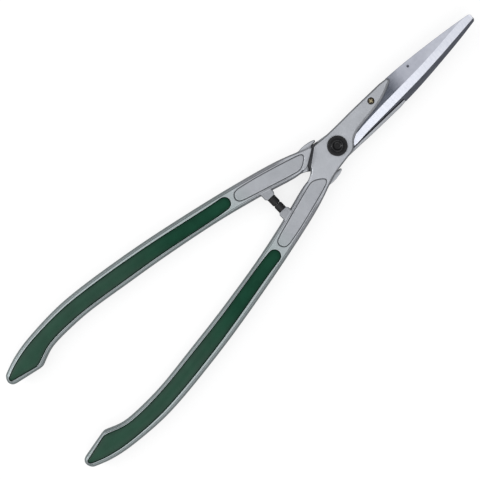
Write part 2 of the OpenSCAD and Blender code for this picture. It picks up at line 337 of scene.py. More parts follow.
def axis_quads(inside, number, axis):
    """One quad around each grid edge along an axis whose ends lie on different sides of the surface."""
    u, v = (axis + 1) % 3, (axis + 2) % 3
    first, second = [slice(1, -1)] * 3, [slice(1, -1)] * 3
    first[axis], second[axis] = slice(0, -1), slice(1, None)
    near, far = inside[tuple(first)], inside[tuple(second)]
    at = np.argwhere(near != far)
    leaving = near[near != far]
    at[:, u] += 1
    at[:, v] += 1
    unit = np.eye(3, dtype=int)
    ring = [number[tuple((at - shift).T)] for shift in (0 * unit[u], unit[u], unit[u] + unit[v], unit[v])]
    quads = np.stack(ring, 1)
    quads[~leaving] = quads[~leaving][:, ::-1]
    return quads


def snapped(points, lines, above, reach, probe=0.1, least=0.5):
    """Points near a line moved onto it along its slope, less far where that is under `least`."""
    points = points.copy()
    flat = np.abs(points[:, 2]) > above
    for line in lines:
        x, y = points[:, 0], points[:, 1]
        value = line(x, y)
        slope = [line(x + probe, y) - line(x - probe, y), line(x, y + probe) - line(x, y - probe)]
        slope = np.stack(slope, 1) / (2 * probe)
        move = slope * (value / np.maximum((slope ** 2).sum(1), least))[:, None]
        near = flat & (np.abs(value) < reach)
        points[near, :2] -= move[near]
    return points


def thinned(points, quads):
    """The surface as triangles, with fewer of them where it is flat."""
    obj = new_object("thinned", points, quads)
    share = MOST_TRIANGLES / (2 * len(quads))
    if share < 1:
        modifier = obj.modifiers.new("thin", "DECIMATE")
        modifier.ratio = share
        apply_modifiers(obj)
    kept = np.array([v.co for v in obj.data.vertices])
    obj.data.calc_loop_triangles()
    triangles = np.array([t.vertices for t in obj.data.loop_triangles])
    bpy.data.objects.remove(obj)
    return kept, triangles


def gradient(field, points, reach):
    """Slope of a field at each point, along x, y and z."""
    steps = np.eye(3) * reach
    return np.stack([field(*(points + e).T) - field(*(points - e).T) for e in steps], 1) / (2 * reach)


def outward(field, points, reach=0.3):
    """Unit normals of a field at points on its surface."""
    slope = gradient(field, points, reach)
    return slope / np.linalg.norm(slope, axis=1)[:, None]


def settled(field, points, rounds=3, reach=0.05, least=0.3):
    """Points moved onto the surface along the field's slope, less far where that is under `least`."""
    for _ in range(rounds):
        slope = gradient(field, points, reach)
        rise = np.maximum((slope ** 2).sum(1), least)
        points = points - field(*points.T)[:, None] * slope / rise[:, None]
    return points


def sharpness(field, points, triangles, reach=0.8, softenings=3):
    """How strongly the surface bends at each point: positive on outer edges, negative in corners."""
    around = sum(field(*(points + e).T) + field(*(points - e).T) for e in np.eye(3) * reach)
    bend = (around - 6 * field(*points.T)) / reach ** 2
    corners = triangles.ravel()
    uses = np.maximum(np.bincount(corners, minlength=len(points)), 1)
    for _ in range(softenings):
        mean = bend[triangles].mean(1)
        bend = np.bincount(corners, np.repeat(mean, 3), len(points)) / uses
    return bend


# ---- meshes and objects

def new_object(name, points, faces):
    """A new object with a mesh of its own, in the scene."""
    mesh = bpy.data.meshes.new(name)
    mesh.from_pydata(np.asarray(points).tolist(), [], [list(map(int, face)) for face in faces])
    obj = bpy.data.objects.new(name, mesh)
    bpy.context.scene.collection.objects.link(obj)
    return obj


def stand_in(node, form, points, faces, materials, face_materials=None, marks=None, normals=None):
    """A smooth piece, from points in millimetres, that replaces a CAD node and rides on its body.

    marks maps a name to a number for each point, which materials read.
    """
    obj = new_object(f"{node}_{form}", np.array(points) * MM, faces)
    mesh = obj.data
    mesh.polygons.foreach_set("use_smooth", [True] * len(mesh.polygons))
    for material in materials:
        mesh.materials.append(material)
    if face_materials is not None:
        mesh.polygons.foreach_set("material_index", face_materials)
    for mark, values in (marks or {}).items():
        layer = mesh.attributes.new(mark, "FLOAT", "POINT")
        layer.data.foreach_set("value", np.asarray(values, np.float32))
    if normals is not None:
        mesh.normals_split_custom_set_from_vertices(normals.tolist())
    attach(obj, BODY_OF[node])
    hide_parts(node)
    return obj


def turned(points, faces, x_sign, z_sign):
    """The shape with x and z multiplied by signs, its faces kept facing outward."""
    if x_sign * z_sign < 0:
        faces = [face[::-1] for face in faces]
    return np.array(points) * [x_sign, 1, z_sign], faces


def turn_over(obj):
    """Turns an object's mesh over about the Y axis."""
    obj.data.transform(Matrix.Diagonal((-1, 1, -1, 1)))


def arc_points(centre, radius, start, end, steps):
    """(radius, height) points on an arc, angles in degrees."""
    angles = [math.radians(start + (end - start) * k / steps) for k in range(steps + 1)]
    return [(centre[0] + radius * math.cos(a), centre[1] + radius * math.sin(a)) for a in angles]


def spun(profile, axis="z", centre=(0, 0, 0), steps=96):
    """A closed surface spun from a profile of (radius, height) points that starts and ends on the axis."""
    points, faces, rings = [], [], []
    for radius, height in profile:
        if radius < 1e-6:
            rings.append([len(points)])
            points.append((0, 0, height))
            continue
        rings.append(list(range(len(points), len(points) + steps)))
        for k in range(steps):
            angle = 2 * math.pi * k / steps
            points.append((radius * math.cos(angle), radius * math.sin(angle), height))
    for lower, upper in zip(rings, rings[1:]):
        for k in range(steps):
            n = (k + 1) % steps
            if len(lower) == 1:
                faces.append([lower[0], upper[n], upper[k]])
            elif len(upper) == 1:
                faces.append([lower[k], lower[n], upper[0]])
            else:
                faces.append([lower[k], lower[n], upper[n], upper[k]])
    points = np.array(points, float)
    if axis == "x":
        points = points[:, [2, 0, 1]]
    return points + np.array(centre, float), faces


def ring_profile(inner, outer, bottom, top, edge):
    """Closed section of a ring with rounded edges, as (radius, height) points in order."""
    corners = [
        (outer - edge, bottom + edge, -90), (outer - edge, top - edge, 0),
        (inner + edge, top - edge, 90), (inner + edge, bottom + edge, 180),
    ]
    arcs = [arc_points((radius, height), edge, start, start + 90, 4) for radius, height, start in corners]
    return sum(arcs, [])


def ring_of(sections):
    """A ring through closed sections of (radius, height) points, spread evenly around the axis."""
    steps, count = len(sections), len(sections[0])
    points, faces = [], []
    for k, section in enumerate(sections):
        angle = 2 * math.pi * k / steps
        points += [(r * math.cos(angle), r * math.sin(angle), h) for r, h in section]
        here, following = k * count, (k + 1) % steps * count
        for i in range(count):
            j = (i + 1) % count
            faces.append([here + i, following + i, following + j, here + j])
    return np.array(points), faces


def spun_ring(section, steps=96):
    """A ring spun from a closed section."""
    return ring_of([section] * steps)


def carved(obj, points, faces):
    """Cuts a closed shape, given in millimetres, out of obj. The cut takes the last of its materials."""
    tool = new_object("tool", np.array(points) * MM, faces)
    for material in obj.data.materials:
        tool.data.materials.append(material)
    last = len(obj.data.materials) - 1
    tool.data.polygons.foreach_set("material_index", [last] * len(tool.data.polygons))
    modifier = obj.modifiers.new("carve", "BOOLEAN")
    modifier.operation = "DIFFERENCE"
    modifier.object = tool
    modifier.solver = "EXACT"
    apply_modifiers(obj)
    bpy.data.objects.remove(tool)


def apply_modifiers(obj):
    graph = bpy.context.evaluated_depsgraph_get()
    graph.update()
    made = bpy.data.meshes.new_from_object(obj.evaluated_get(graph), depsgraph=graph)
    obj.modifiers.clear()
    obj.data = made


def crease(obj, degrees):
    """Smooth shading with edges kept sharp above an angle."""
    obj.data.polygons.foreach_set("use_smooth", [True] * len(obj.data.polygons))
    obj.data.set_sharp_from_angle(angle=math.radians(degrees))


def prism(corners, bottom, top):
    """Closed prism on a polygon in the plane."""
    n = len(corners)
    points = [(x, y, bottom) for x, y in corners] + [(x, y, top) for x, y in corners]
    faces = [list(range(n))[::-1], list(range(n, 2 * n))]
    faces += [[k, (k + 1) % n, n + (k + 1) % n, n + k] for k in range(n)]
    return np.array(points, float), faces


def regular(sides, across_flats, turn=0.0):
    """Corners of a regular polygon, `turn` in radians."""
    radius = across_flats / 2 / math.cos(math.pi / sides)
    angles = [turn + 2 * math.pi * k / sides for k in range(sides)]
    return [(radius * math.cos(a), radius * math.sin(a)) for a in angles]


# ---- materials

def to_linear(screen):
    """Screen colour from 0 to 255 as a linear colour."""
    channels = [c / 255 for c in screen]
    return tuple(c / 12.92 if c < 0.04045 else ((c + 0.055) / 1.055) ** 2.4 for c in channels) + (1,)


class Paint:
    """A node material, with short calls for the nodes that these finishes share."""

    def __init__(self, name):
        self.material = bpy.data.materials.new(name)
        self.material.use_nodes = True
        self.tree = self.material.node_tree
        self.shader = self.tree.nodes["Principled BSDF"]
        self.place = self.tree.nodes.new("ShaderNodeTexCoord").outputs["Object"]

    def xy(self):
        """Object coordinates x and y, in metres."""
        parts = self.node("ShaderNodeSeparateXYZ", {"Vector": self.place}).outputs
        return parts["X"], parts["Y"]

    def set(self, **values):
        """Inputs of the shader, with _ for the spaces in their names."""
        for name, value in values.items():
            self.feed(self.shader.inputs[name.replace("_", " ")], value)

    def feed(self, socket, value):
        if isinstance(value, bpy.types.NodeSocket):
            self.tree.links.new(value, socket)
        else:
            socket.default_value = value

    def node(self, kind, inputs=None, **settings):
        node = self.tree.nodes.new(kind)
        for name, value in settings.items():
            setattr(node, name, value)
        for name, value in (inputs or {}).items():
            self.feed(node.inputs[name], value)
        return node

    def noise(self, size_mm, detail, rough, stretch=(1, 1, 1)):
        """Noise from 0 to 1 with features of about size_mm, on coordinates scaled by `stretch`."""
        where = self.node("ShaderNodeMapping", {"Vector": self.place, "Scale": stretch}).outputs[0]
        inputs = {"Vector": where, "Scale": 1 / (size_mm * MM), "Detail": detail, "Roughness": rough}
        return self.node("ShaderNodeTexNoise", inputs).outputs["Fac"]

    def remap(self, value, low, high, to_low, to_high):
        inputs = {"Value": value, "From Min": low, "From Max": high, "To Min": to_low, "To Max": to_high}
        return self.node("ShaderNodeMapRange", inputs).outputs["Result"]

    def maths(self, operation, a, b):
        return self.node("ShaderNodeMath", {0: a, 1: b}, operation=operation).outputs[0]

    def blend(self, share, a, b):
        """Colour a at share 0 and b at share 1."""
        return self.node("ShaderNodeMix", {0: share, 6: a, 7: b}, data_type="RGBA").outputs[2]

    def mottled(self, noise, a, b, low=0.3):
        """Starts the base colour: screen colours a and b in soft patches that follow a noise."""
        self.colour = self.blend(self.remap(noise, low, 0.7, 0, 1), to_linear(a), to_linear(b))

    def over(self, share, screen):
        """Lays a screen colour over the base colour."""
        self.colour = self.blend(share, self.colour, to_linear(screen))

    def bump(self, height, depth_mm, below=None):
        inputs = {"Height": height, "Distance": depth_mm * MM, "Strength": 1.0}
        if below is not None:
            inputs["Normal"] = below
        return self.node("ShaderNodeBump", inputs).outputs["Normal"]

    def mark(self, name):
        """A number that stand_in() stored at each point."""
        return self.node("ShaderNodeAttribute", attribute_name=name).outputs["Fac"]


def casting_material():
    """Satin die-cast aluminium under clear lacquer: fine grain, worn edges with a painted highlight on them,
    painted shade in the corners and wherever the lever's marks put it, and a painted green reflection of the
    grips on the handle.
    """
    paint = Paint("casting")
    bend, painted_shade = paint.mark("bend"), paint.mark("painted_shade")
    cloud = paint.noise(14, 4, 0.55)
    grain = paint.noise(0.55, 2, 0.6)
    # Painted green reflection of the grips, on the handle.
    painted_green_reflection = paint.remap(paint.xy()[1], -0.13, -0.1, 0.6, 0)
    # Painted shade in concave corners.
    painted_corner_shade = paint.remap(bend, -0.35, -1.6, 0, 0.5)
    # Convex edges lighter: wear, and a painted highlight.
    worn_and_highlit_edges = paint.remap(bend, 0.7, 1.8, 0, 0.3)
    paint.mottled(cloud, (163, 166, 171), (172, 175, 180))
    paint.over(paint.remap(grain, 0.35, 0.75, 0, 0.2), (212, 215, 220))
    paint.over(painted_green_reflection, (146, 162, 159))
    paint.over(painted_corner_shade, (66, 68, 74))
    paint.over(worn_and_highlit_edges, (214, 217, 222))
    # Painted shade where the lever's marks put it.
    paint.over(painted_shade, (38, 38, 42))
    rough = paint.remap(cloud, 0.3, 0.7, 0.36, 0.44)
    rough = paint.maths("ADD", rough, paint.remap(grain, 0, 1, 0, 0.12))
    relief = paint.bump(paint.noise(3.0, 3, 0.5), 0.06, paint.bump(grain, 0.02))
    paint.set(Base_Color=paint.colour, Metallic=0.78, Roughness=rough, Normal=relief)
    paint.set(Coat_Weight=0.15, Coat_Roughness=0.3)
    return paint.material


def steel_material(name, colour, tint, along, rough, line_mm, scratch_mm, gleam, shaded_beside_lip=False):
    """Ground steel with fine lines along an axis, 0 for x and 1 for y. line_mm is their width and length."""
    paint = Paint(name)
    stretch = [1 / line_mm[0]] * 3
    stretch[along] = 1 / line_mm[1]
    lines = paint.noise(1.0, 2, 0.7, stretch)
    bands = paint.noise(1.0, 2, 0.5, [s / 7 for s in stretch])
    paint.mottled(bands, colour, tint)
    paint.over(paint.remap(lines, 0.35, 0.7, 0, gleam), (250, 251, 255))
    # Painted shade in the gap beside the other arm's lip.
    if shaded_beside_lip:
        paint.over(painted_shade_beside_lip(paint), (8, 8, 10))
    paint.set(Base_Color=paint.colour, Metallic=0.85, Normal=paint.bump(lines, scratch_mm))
    paint.set(Roughness=paint.remap(lines, 0.3, 0.7, rough - 0.05, rough + 0.08))
    return paint.material


def painted_shade_beside_lip(paint):
    """Share of painted shade on a blade's flat side, in the gap beside the other arm's lip."""
    x, y = paint.xy()
    beside_lip = paint.remap(paint.maths("ABSOLUTE", x, 0), 0.0124, 0.0131, 0, 0.96)
    return paint.maths("MULTIPLY", beside_lip, paint.remap(y, 0.087, 0.089, 1, 0))


def flank_material():
    """Ground upper side of a blade, with painted shade where the arm's foot meets it and a painted dark
    reflection that fades from the heel toward the tip.
    """
    paint = Paint("blade_flank")
    lines = paint.noise(1.0, 2, 0.7, (1 / 0.16, 1 / 12, 1 / 0.16))
    cloud = paint.noise(9, 3, 0.6)
    y = paint.xy()[1]
    ragged = paint.maths("MULTIPLY", paint.maths("SUBTRACT", cloud, 0.5), 0.008)
    painted_shade_by_arm = paint.remap(paint.maths("ADD", y, ragged), 0.086, 0.104, 1, 0)
    paint.mottled(cloud, (186, 189, 200), (202, 205, 215))
    # Painted dark reflection, strongest at the heel.
    paint.over(paint.remap(y, 0.1, 0.155, 0.5, 0), (134, 137, 149))
    # Painted shade beside the arm's foot.
    paint.over(painted_shade_by_arm, (74, 80, 92))
    paint.over(paint.remap(lines, 0.4, 0.75, 0, 0.25), (214, 217, 226))
    paint.set(Base_Color=paint.colour, Metallic=0.75, Normal=paint.bump(lines, 0.02))
    paint.set(Roughness=paint.remap(lines, 0.3, 0.7, 0.3, 0.42))
    return paint.material


def grip_material():
    """Satin moulded plastic with a fine grain, soft scuffs and painted shade in the seam and on the sloping
    edges, shinier toward the end that is held.
    """
    paint = Paint("grip")
    cloud = paint.noise(22, 4, 0.6)
    grain = paint.noise(0.45, 2, 0.5)
    scuff = paint.noise(2.2, 5, 0.7, (1, 0.18, 1))
    paint.mottled(cloud, (12, 54, 38), (19, 64, 46))
    paint.over(paint.remap(scuff, 0.62, 0.85, 0, 0.22), (60, 94, 78))
    # Painted shade from the pad's seam mark.
    paint.over(paint.mark("painted_seam_shade"), (6, 18, 14))
    rough = paint.remap(scuff, 0.3, 0.8, 0.34, 0.46)
    rough = paint.maths("ADD", rough, paint.remap(grain, 0, 1, -0.04, 0.06))
    paint.set(Base_Color=paint.colour, Roughness=rough, Normal=paint.bump(grain, 0.03))
    paint.set(Specular_IOR_Level=paint.remap(paint.xy()[1], -0.27, -0.2, 0.24, 0.07))
    return paint.material


def black_material():
    """Black oxide on steel, rubbed brighter in places."""
    paint = Paint("pivot_black")
    cloud = paint.noise(2.5, 4, 0.6)
    grain = paint.noise(0.3, 3, 0.6)
    paint.mottled(cloud, (9, 9, 11), (18, 18, 21), 0.35)
    paint.over(paint.remap(grain, 0.62, 0.8, 0, 0.3), (60, 60, 64))
    paint.set(Base_Color=paint.colour, Metallic=0.5, Normal=paint.bump(grain, 0.02), Specular_IOR_Level=0.3)
    paint.set(Roughness=paint.remap(cloud, 0.3, 0.7, 0.3, 0.42), Coat_Weight=0.35, Coat_Roughness=0.14)
    return paint.material


def rubber_material():
    """Matt black rubber, a little paler in patches."""
    paint = Paint("bumper_rubber")
    grain = paint.noise(0.35, 3, 0.6)
    cloud = paint.noise(3, 3, 0.5)
    paint.mottled(cloud, (9, 9, 11), (22, 22, 25))
    rough = paint.remap(grain, 0, 1, 0.55, 0.8)
    paint.set(Base_Color=paint.colour, Roughness=rough, Normal=paint.bump(grain, 0.05))
    return paint.material


def turned_material(name, dark, light, rough, metallic=0.9):
    """Small turned parts: mottled colour, light turning marks."""
    paint = Paint(name)
    cloud = paint.noise(1.6, 3, 0.6)
    marks = paint.noise(1.0, 2, 0.6, (3000, 3000, 300))
    paint.mottled(cloud, dark, light)
    paint.set(Base_Color=paint.colour, Metallic=metallic, Normal=paint.bump(marks, 0.01))
    paint.set(Roughness=paint.remap(cloud, 0.3, 0.7, rough - 0.06, rough + 0.08))
    return paint.material


CASTING = casting_material()
FLANK = flank_material()
BEVEL = steel_material(
    "blade_bevel", (214, 218, 230), (226, 229, 238), along=0, rough=0.4,
    line_mm=(0.3, 7.0), scratch_mm=0.012, gleam=0.3,
)
# The flat side is the blade's steel painted dark slate: painted shade and dark reflection.
FLAT = steel_material(
    "blade_flat", (64, 67, 76), (76, 80, 89), along=1, rough=0.36,
    line_mm=(0.2, 14.0), scratch_mm=0.004, gleam=0.06, shaded_beside_lip=True,
)
GRIP = grip_material()
BLACK = black_material()
RUBBER = rubber_material()
BRONZE = turned_material("bush", (120, 88, 48), (160, 122, 72), 0.4)
SPRING = turned_material("spring_steel", (110, 114, 122), (150, 154, 162), 0.32)
STUD = turned_material("stud_steel", (140, 144, 150), (176, 180, 186), 0.35)
NYLON = turned_material("nylon", (206, 206, 196), (222, 222, 214), 0.5, 0.0)
SCREW_DARK = turned_material("screw", (30, 27, 25), (58, 50, 42), 0.4, 0.7)
SCREW_WORN = turned_material("screw_worn", (140, 130, 104), (186, 176, 148), 0.35)


# ---- levers

def lever_outline(height, first=0, last=None, spacing=0.8, softenings=2):
    """Outline of the front lever's section at a height, from all of its loops or from some of them."""
    loops = section_loops("front_lever", height)[first:last]
    return Outline([evened(loop, spacing, softenings) for loop in loops])


# The longest loop near the top is the lever's own, and the next two are the grip's recess and the panel.
NEAR_FACE = FACE - 0.4
whole_top = lever_outline(NEAR_FACE, 0, 1)
grip_recess = lever_outline(NEAR_FACE, 1, 2)
panel = lever_outline(NEAR_FACE, 2, 3)
handle = lever_outline(-NEAR_FACE, 0, 1)
pocket_level = lever_outline(BLADE_TOP - 0.25, spacing=0.6, softenings=1)
tab_level = lever_outline(CROTCH_BOTTOM + 0.8, spacing=0.6, softenings=1)
ARM_LEFT = LEVER_LOW[0]


def handle_share(y):
    """1 on the handle, whose sides are round, and 0 on the flat-sided plate and arm."""
    return smoothstep(-44, -66, y)


def arm_side(x, y, outline):
    """1 along the side of the arm that faces the blade's edge."""
    return smoothstep(1, 4, x - ARM_LEFT + outline) * smoothstep(12, 20, y)


def sloped_edge(outline, height, width, drop):
    """Distance to the space inside an outline and below a level, with a sloped edge between them."""
    slope = ((outline + width) * drop + height * width) / math.hypot(width, drop)
    return cut(rounded(outline, height, 0.4), -slope, 0.6)


def ridge(distance, width):
    """1 on a line and falling to 0 within about two widths of it."""
    return np.exp(-((distance / width) ** 2))


def top_face(x, y, z, outline):
    """Upper face of the lever with its sloped or half-lap edge, and a bead along the arm's slope."""
    lapping = smoothstep(-1, -4, whole_top(-x, y)) * smoothstep(10, 2, y)
    plain = sloped_edge(outline, z - FACE, EDGE_SLOPE_W, EDGE_SLOPE_H)
    plain = mixed(plain, rounded(outline, z - FACE, LAP_ROUND), lapping)
    inner = sloped_edge(outline, z - FACE, INNER_SLOPE_W, INNER_SLOPE_H)
    bead = 0.3 * ridge(outline + INNER_SLOPE_W + 0.2, 0.75)
    return mixed(plain, inner - bead, arm_side(x, y, outline))


def handle_body(outline, z):
    """Handle with round sides between flat faces, and a fine line where side and face meet."""
    side = np.hypot(np.maximum(outline + HANDLE_SIDE_R, 0), z) - HANDLE_SIDE_R
    line = 0.35 * ridge(outline - RIM_LINE, 0.62) * smoothstep(FACE - 2, FACE - 1, np.abs(z))
    return cut(side, FACE - np.abs(z), 0.4) + line


def face_height(border):
    """Height of the face around a panel's border: the face, a fine groove, then the panel's floor."""
    drop = (FACE - PANEL_FLOOR) * smoothstep(0.9, -0.4, border)
    return FACE - drop - PANEL_GROOVE * ridge(border, 0.6)


def plate_and_handle(x, y, z):
    """Distance to the lever's two levels, the lip that holds the blade, and the round-sided handle."""
    top, low = whole_top(x, y), handle(x, y)
    sunk = 0.5 * arm_side(x, y, top) * smoothstep(-1.6, -1.0, top)
    upper = np.maximum(top_face(x, y, z, top), BLADE_TOP + OVERLAP - sunk - z)
    lower = sloped_edge(low, -FACE - z, EDGE_SLOPE_W, EDGE_SLOPE_H)
    lower = mixed(lower, rounded(low, -FACE - z, LAP_ROUND), smoothstep(-1, -3, top - low))
    lower = np.maximum(lower, z - BLADE_TOP - OVERLAP)
    lip = within(rounded(pocket_level(x, y), LAP - z, 0.4), z - BLADE_TOP - OVERLAP, POCKET_REAR - y)
    plate = np.minimum(np.minimum(upper, lower), lip)
    return mixed(plate, handle_body(low, z), handle_share(y))


def tab_and_crotch(x, y, z):
    """Distances to the tab beside the lug, and to the web in the crotch of the handles."""
    near = tab_level(x, y)
    tab = within(rounded(near, TAB_BOTTOM - z, 1.4), rounded(near, z - TAB_TOP, 0.8))
    web = within(rounded(near, CROTCH_BOTTOM - z, 0.8), rounded(near, z - CROTCH_TOP, 0.6))
    tab = within(tab, TAB_LEFT - x, TAB_REAR - y)
    return tab, within(web, x - CROTCH_RIGHT, CROTCH_REAR - y, y - CROTCH_FRONT)


def bumper_lug(x, y, z):
    """Distance to the lug that holds a bumper, a block with a smaller nose."""
    block_at = [LUG_FACE + LUG_STEP + LUG_HALF[0], BUMPER_Y, 0]
    nose_at = [LUG_FACE + NOSE_HALF[0], BUMPER_Y, 0]
    block = rounded_box(x, y, z, block_at, LUG_HALF, LUG_ROUND)
    return joined(block, rounded_box(x, y, z, nose_at, NOSE_HALF, NOSE_ROUND), 0.5)


def lever_field(x, y, z):
    """Distance to the front lever's casting."""
    tab, web = tab_and_crotch(x, y, z)
    body = joined(joined(plate_and_handle(x, y, z), tab, 0.7), web, 0.7)
    body = joined(body, bumper_lug(x, y, z), 0.9)
    depth = np.abs(z)
    body = np.maximum(body, (depth - face_height(panel(x, y))) * 0.85)
    body = cut(body, np.maximum(grip_recess(x, y), GRIP_FLOOR - depth), 0.5)
    body = cut(body, np.maximum(np.hypot(x, y) - BUSH_R, -z), 0.2)
    from_screw = np.hypot(x - SCREW_AT[0], y - SCREW_AT[1])
    head = np.maximum(from_screw - SCREW_BORE_R, SCREW_SEAT - z)
    shank = np.maximum(from_screw - SHANK_BORE_R, -z)
    body = cut(body, np.minimum(head, shank), 0.5)
    stud = np.maximum(np.hypot(y - BUMPER_Y, z) - STUD_R, x - LUG_FACE - STUD_DEPTH)
    return cut(body, stud, 0.2)


def lever_painted_shade(x, y, z):
    """Share of painted shade at each point, the strongest of eight places where shade falls: the panel's
    groove and floor, the line round the handle, the half-lap face and the gap beside it, the floor of the
    grip's recess, the edges of the plate and arm, and the lug.
    """
    depth = np.abs(z)
    outline = np.where(z > 0, whole_top(x, y), handle(x, y))
    partner = np.where(z > 0, handle(-x, y), whole_top(-x, y))
    behind_pivot = smoothstep(-11, -13, y)
    on_panel = depth > PANEL_FLOOR - 1.2
    rim = ridge(whole_top(x, y) - RIM_LINE, 0.5) * handle_share(y) * (depth > FACE - 0.9)
    gap = smoothstep(4.4, 3.0, partner) * (x * np.sign(z) < 2) * smoothstep(6.6, 5.6, depth)
    shades = [
        0.85 * ridge(panel(x, y), 0.55) * on_panel,
        0.12 * smoothstep(0.2, -0.6, panel(x, y)) * on_panel,
        0.7 * rim,
        0.8 * smoothstep(0.55, 0.3, np.abs(z - LAP)) * smoothstep(-56, -50, y) * behind_pivot,
        0.8 * gap * smoothstep(-48, -44, y) * behind_pivot,
        smoothstep(GRIP_FLOOR + 2.2, GRIP_FLOOR + 1.4, depth) * (grip_recess(x, y) < 0.4),
        0.35 * smoothstep(-1.3, -0.4, outline) * (outline < 0.3) * (1 - handle_share(y)),
        0.3 * smoothstep(8.2, 7.0, np.abs(y - BUMPER_Y)) * smoothstep(13.0, 10.5, x - LUG_FACE),
    ]
    return np.clip(np.maximum.reduce(shades), 0, 1)


def make_levers():
    margin = 1.5
    # Edges of faces follow the panel's groove, the line round the handle and the grip's recess.
    lines = [
        panel, lambda x, y: panel(x, y) - 0.8, lambda x, y: panel(x, y) + 0.8,
        lambda x, y: whole_top(x, y) - RIM_LINE, lambda x, y: whole_top(x, y) - RIM_LINE - 0.6, grip_recess,
    ]
    points, faces = skin(lever_field, LEVER_LOW - margin, LEVER_HIGH + margin, SKIN_STEP, lines, 5.0)
    # painted_shade darkens the casting where shade falls; bend gives painted shade in corners and a painted
    # highlight on edges.
    marks = {"bend": sharpness(lever_field, points, faces), "painted_shade": lever_painted_shade(*points.T)}
    normals = outward(lever_field, points)
    for half, sign in (("front", 1), ("rear", -1)):
        stand_in(
            f"{half}_lever", "casting", *turned(points, faces, sign, sign), [CASTING],
            marks=marks, normals=normals * [sign, 1, sign],
        )


# ---- grips

pad = Outline([evened(section_loops("front_grip_top", FACE - 0.5)[0], softenings=3)])
pad_soft = pad.softened(24)
PAD_TOP = FACE - 0.6
PAD_CROWN, PAD_FLAT_CROWN = 1.6, 0.7
PAD_SLOPE_W = 8.6
PAD_GAP = 0.25


def pad_field(x, y, z):
    """Distance to a grip pad, crowned more toward the end that is held."""
    inward = np.clip(-pad_soft(x, y) / PAD_SLOPE_W, 0, 1)
    crown = mixed(PAD_FLAT_CROWN, PAD_CROWN, smoothstep(-150, -260, y))
    top = PAD_TOP + crown * (1 - (1 - inward) ** 2)
    return np.maximum(rounded(pad(x, y) + PAD_GAP, z - top, 1.0), GRIP_FLOOR + 0.05 - z)


def make_grips():
    low, high = box_mm("front_grip_top")
    low[2] = GRIP_FLOOR
    points, faces = skin(pad_field, low - 1.2, high + [1.2, 1.2, 2.5], SKIN_STEP)
    normals = outward(pad_field, points)
    # Painted shade in the seam round the pad and on its sloping edges.
    from_edge = pad(*points.T[:2])
    in_seam = 0.7 * smoothstep(-0.9, -0.3, from_edge)
    beside_seam = 0.3 * smoothstep(-5, -0.8, from_edge)
    marks = {"painted_seam_shade": np.maximum(in_seam, beside_seam)}
    for half, x_sign in (("front", 1), ("rear", -1)):
        for side, z_sign in (("top", 1), ("bottom", -1)):
            stand_in(
                f"{half}_grip_{side}", "pad", *turned(points, faces, x_sign, z_sign), [GRIP],
                marks=marks, normals=normals * [x_sign, 1, z_sign],
            )


# ---- blades

EDGE_LAND = 0.25
TIP_ROUND = 1.5
SPINE_BREAK = 0.35
UNDER_BREAK = 0.12
# The bevel keeps one width from the heel to the end of the CAD's run-out.
HEEL = (13.0, 14.6)
RUNOUT_END = 31.0
BEVEL_SMOOTHING = 12
BEVEL_KERNEL = np.hanning(2 * BEVEL_SMOOTHING + 3)[1:-1]
BEVEL_KERNEL /= BEVEL_KERNEL.sum()
STATION_STEP = 0.3


def span_at(loop, y):
    """Leftmost and rightmost x of a loop at one y."""
    a, b = loop, np.roll(loop, -1, 0)
    hit = (a[:, 1] > y) != (b[:, 1] > y)
    a, b = a[hit], b[hit]
    x = a[:, 0] + (y - a[:, 1]) * (b[:, 0] - a[:, 0]) / (b[:, 1] - a[:, 1])
    return x.min(), x.max()


def bevel_widths(stations, spans, edge_top):
    """Width of the bevel at each station, from how far the CAD's bevel reaches in at half height."""
    mid_height = (BLADE_BOTTOM + BLADE_TOP) / 2
    middle = section_loops("front_blade", mid_height)[0]
    mid_spans = np.array([span_at(middle, min(y, middle[:, 1].max() - 0.01)) for y in stations])
    widths = (spans - mid_spans)[:, 1] * (BLADE_TOP - edge_top) / (mid_height - edge_top)
    widths = np.where(stations < RUNOUT_END, np.interp(RUNOUT_END, stations, widths), widths)
    widths = np.convolve(np.pad(widths, BEVEL_SMOOTHING, "edge"), BEVEL_KERNEL, "valid")
    return np.maximum(widths * smoothstep(*HEEL, stations), 0.02)


def blade_rings():
    """Cross-sections of the front blade, from the tang to the tip."""
    outline = section_loops("front_blade", BLADE_BOTTOM + 0.15)[0]
    bottom, top = BLADE_BOTTOM, BLADE_TOP
    edge_top = bottom + EDGE_LAND
    first, last = outline[:, 1].min() + 0.1, outline[:, 1].max()
    near_tip = np.linspace(last - 3, last - 0.02, 16)
    stations = np.concatenate([np.arange(first, last - 3, STATION_STEP), near_tip])
    spans = np.array([span_at(outline, y) for y in stations])
    rings = []
    for y, (left, right), bevel_w in zip(stations, spans, bevel_widths(stations, spans, edge_top)):
        pull = max(TIP_ROUND - (last - y), 0)
        shrink = TIP_ROUND - math.sqrt(max(TIP_ROUND ** 2 - pull ** 2, 0))
        slope = (top - edge_top) / bevel_w
        left, right = left + shrink, right - shrink

        def height(x):
            return min(top, edge_top + (right + shrink - x) * slope)

        inner = left + SPINE_BREAK
        bevel_x = min(max(right - bevel_w, inner + 0.02), right - 0.02)
        rings.append([
            (left + UNDER_BREAK, y, bottom),
            (left, y, bottom + UNDER_BREAK),
            (left, y, height(left) - SPINE_BREAK),
            (inner, y, height(inner)),
            (bevel_x, y, height(bevel_x)),
            (right, y, height(right)),
            (right, y, bottom),
        ])
    return np.array(rings)


# Materials of the faces that follow each ring point, as places in the list that make_blades() gives.
RING_FINISHES = [0, 0, 0, 0, 1, 1, 2]
# The bore's corners keep clear of the blade's cross-sections.
BORE_TURN = 0.02


